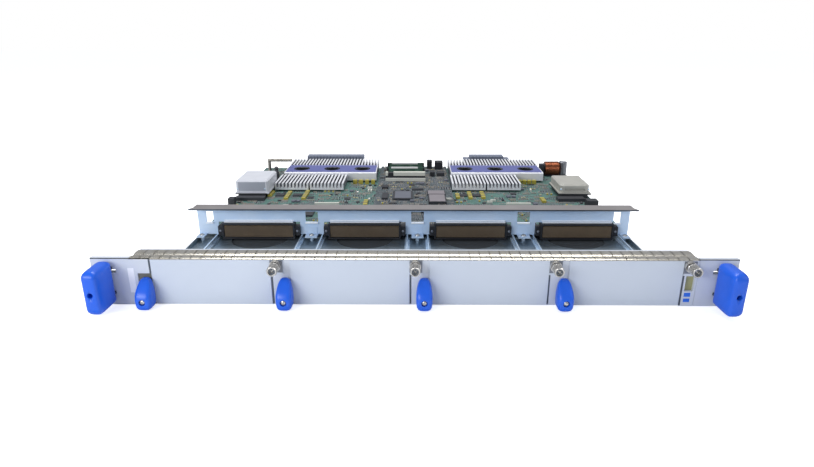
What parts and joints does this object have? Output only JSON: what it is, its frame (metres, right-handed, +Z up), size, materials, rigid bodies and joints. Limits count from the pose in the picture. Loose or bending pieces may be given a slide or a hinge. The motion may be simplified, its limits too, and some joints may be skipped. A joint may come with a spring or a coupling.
{
  "type": "switch line card",
  "caption": "Flat router line card with blanked module bays, turning module levers, captive thumbscrews and swinging end ejectors behind a wide faceplate.",
  "frame": {"origin": "on the underside of the tray, on its centre line, 265 mm behind the face of the front panel", "axes": "+X along the faceplate to the viewer's right, +Y from the faceplate to the backplane connectors, +Z up from the tray"},
  "size_m": [0.625, 0.602, 0.0495],
  "materials": {
    "painted_aluminium": "satin powder coat, pale blue-white",
    "blank_paint": "satin powder coat, pale blue-white",
    "beryllium_copper": "bright spring fingers",
    "zinc_sheet": "zinc plated sheet",
    "bright_steel": "bright zinc plate",
    "connector_black": "moulded liquid crystal polymer",
    "contact_brown": "moulded contact block",
    "moulded_blue": "moulded nylon, semi-gloss",
    "nickel_screw": "nickel plated, knurled",
    "arm_steel": "stainless sheet",
    "board_green": "solder mask on glass epoxy",
    "board_dark": "dark solder mask on glass epoxy",
    "sink_aluminium": "extruded, bare",
    "chip_black": "moulded epoxy",
    "brick_white": "bead blasted cover",
    "brick_beige": "bead blasted cover",
    "plug_grey": "moulded with shield plates",
    "capacitor_yellow": "moulded epoxy",
    "socket_ivory": "moulded",
    "memory_board": "solder mask with packages",
    "copper_winding": "enamelled copper wire",
    "can_aluminium": "drawn can",
    "rod_steel": "tinned steel"
  },
  "bodies": {
    "root": {"front_frame": "painted_aluminium", "gasket_strips": "beryllium_copper", "blank_panel_1": "blank_paint", "blank_panel_2": "blank_paint", "blank_panel_3": "blank_paint", "blank_panel_4": "blank_paint", "screw_ferrules": "nickel_screw", "lever_screws": "nickel_screw", "ejector_brackets": "arm_steel", "ejector_pins": "arm_steel", "tray": "zinc_sheet", "guide_rails": "bright_steel", "bulkhead": "zinc_sheet", "standoffs": "bright_steel", "module_connector_1": "connector_black", "module_connector_2": "connector_black", "module_connector_3": "connector_black", "module_connector_4": "connector_black", "connector_inserts": "contact_brown", "main_board": "board_green", "mezzanine_board": "board_dark", "front_heat_sink_1": "sink_aluminium", "front_heat_sink_2": "sink_aluminium", "front_heat_sink_3": "sink_aluminium", "front_heat_sink_4": "sink_aluminium", "rear_heat_sink_left": "sink_aluminium", "rear_heat_sink_right": "sink_aluminium", "heat_sink_chips": "chip_black", "power_module_left": "brick_white", "power_module_right": "brick_beige", "backplane_connector_left": "plug_grey", "backplane_connector_right": "plug_grey", "tantalum_capacitors": "capacitor_yellow", "board_chips": "chip_black", "mezzanine_chips": "chip_black", "board_sockets": "socket_ivory", "memory_modules": "memory_board", "choke_coil": "copper_winding", "filter_can": "can_aluminium", "earth_rod": "rod_steel"},
    "left_ejector": {"left_ejector_grip": "moulded_blue", "left_ejector_arm": "arm_steel", "left_grip_screw": "nickel_screw"},
    "right_ejector": {"right_ejector_grip": "moulded_blue", "right_ejector_arm": "arm_steel", "right_grip_screw": "nickel_screw"},
    "lever_1": {"module_lever_1": "moulded_blue"},
    "lever_2": {"module_lever_2": "moulded_blue"},
    "lever_3": {"module_lever_3": "moulded_blue"},
    "lever_4": {"module_lever_4": "moulded_blue"},
    "screw_1_travel": {"retaining_ring_1": "arm_steel"},
    "screw_1": {"thumbscrew_1": "nickel_screw"},
    "screw_2_travel": {"retaining_ring_2": "arm_steel"},
    "screw_2": {"thumbscrew_2": "nickel_screw"},
    "screw_3_travel": {"retaining_ring_3": "arm_steel"},
    "screw_3": {"thumbscrew_3": "nickel_screw"},
    "screw_4_travel": {"retaining_ring_4": "arm_steel"},
    "screw_4": {"thumbscrew_4": "nickel_screw"}
  },
  "joints": [
    {"name": "left_ejector_swing", "type": "hinge", "parent": "root", "child": "left_ejector", "pos_m": [-0.2975, -0.273, 0.026], "axis": [0, 0, -1], "range_deg": [0, 55]},
    {"name": "right_ejector_swing", "type": "hinge", "parent": "root", "child": "right_ejector", "pos_m": [0.2975, -0.273, 0.026], "axis": [0, 0, 1], "range_deg": [0, 55]},
    {"name": "lever_1_turn", "type": "hinge", "parent": "root", "child": "lever_1", "pos_m": [-0.2595, -0.265, 0.0105], "axis": [0, -1, 0], "range_deg": [0, 90]},
    {"name": "lever_2_turn", "type": "hinge", "parent": "root", "child": "lever_2", "pos_m": [-0.1245, -0.265, 0.0105], "axis": [0, -1, 0], "range_deg": [0, 90]},
    {"name": "lever_3_turn", "type": "hinge", "parent": "root", "child": "lever_3", "pos_m": [0.0105, -0.265, 0.0105], "axis": [0, -1, 0], "range_deg": [0, 90]},
    {"name": "lever_4_turn", "type": "hinge", "parent": "root", "child": "lever_4", "pos_m": [0.1455, -0.265, 0.0105], "axis": [0, -1, 0], "range_deg": [0, 90]},
    {"name": "screw_1_back_out", "type": "slide", "parent": "root", "child": "screw_1_travel", "axis": [0, -1, 0], "range_m": [0, 0.0055]},
    {"name": "screw_1_turn", "type": "hinge", "parent": "screw_1_travel", "child": "screw_1", "pos_m": [-0.1334, -0.265, 0.0425], "axis": [0, -1, 0], "range_deg": [0, 2828.6]},
    {"name": "screw_2_back_out", "type": "slide", "parent": "root", "child": "screw_2_travel", "axis": [0, -1, 0], "range_m": [0, 0.0055]},
    {"name": "screw_2_turn", "type": "hinge", "parent": "screw_2_travel", "child": "screw_2", "pos_m": [0.0016, -0.265, 0.0425], "axis": [0, -1, 0], "range_deg": [0, 2828.6]},
    {"name": "screw_3_back_out", "type": "slide", "parent": "root", "child": "screw_3_travel", "axis": [0, -1, 0], "range_m": [0, 0.0055]},
    {"name": "screw_3_turn", "type": "hinge", "parent": "screw_3_travel", "child": "screw_3", "pos_m": [0.1366, -0.265, 0.0425], "axis": [0, -1, 0], "range_deg": [0, 2828.6]},
    {"name": "screw_4_back_out", "type": "slide", "parent": "root", "child": "screw_4_travel", "axis": [0, -1, 0], "range_m": [0, 0.0055]},
    {"name": "screw_4_turn", "type": "hinge", "parent": "screw_4_travel", "child": "screw_4", "pos_m": [0.2656, -0.265, 0.0425], "axis": [0, -1, 0], "range_deg": [0, 2828.6]}
  ],
  "couplings": [
    {"joint": "screw_1_back_out", "follows": "screw_1_turn", "m_per_rad": 0.00011141},
    {"joint": "screw_2_back_out", "follows": "screw_2_turn", "m_per_rad": 0.00011141},
    {"joint": "screw_3_back_out", "follows": "screw_3_turn", "m_per_rad": 0.00011141},
    {"joint": "screw_4_back_out", "follows": "screw_4_turn", "m_per_rad": 0.00011141}
  ]
}
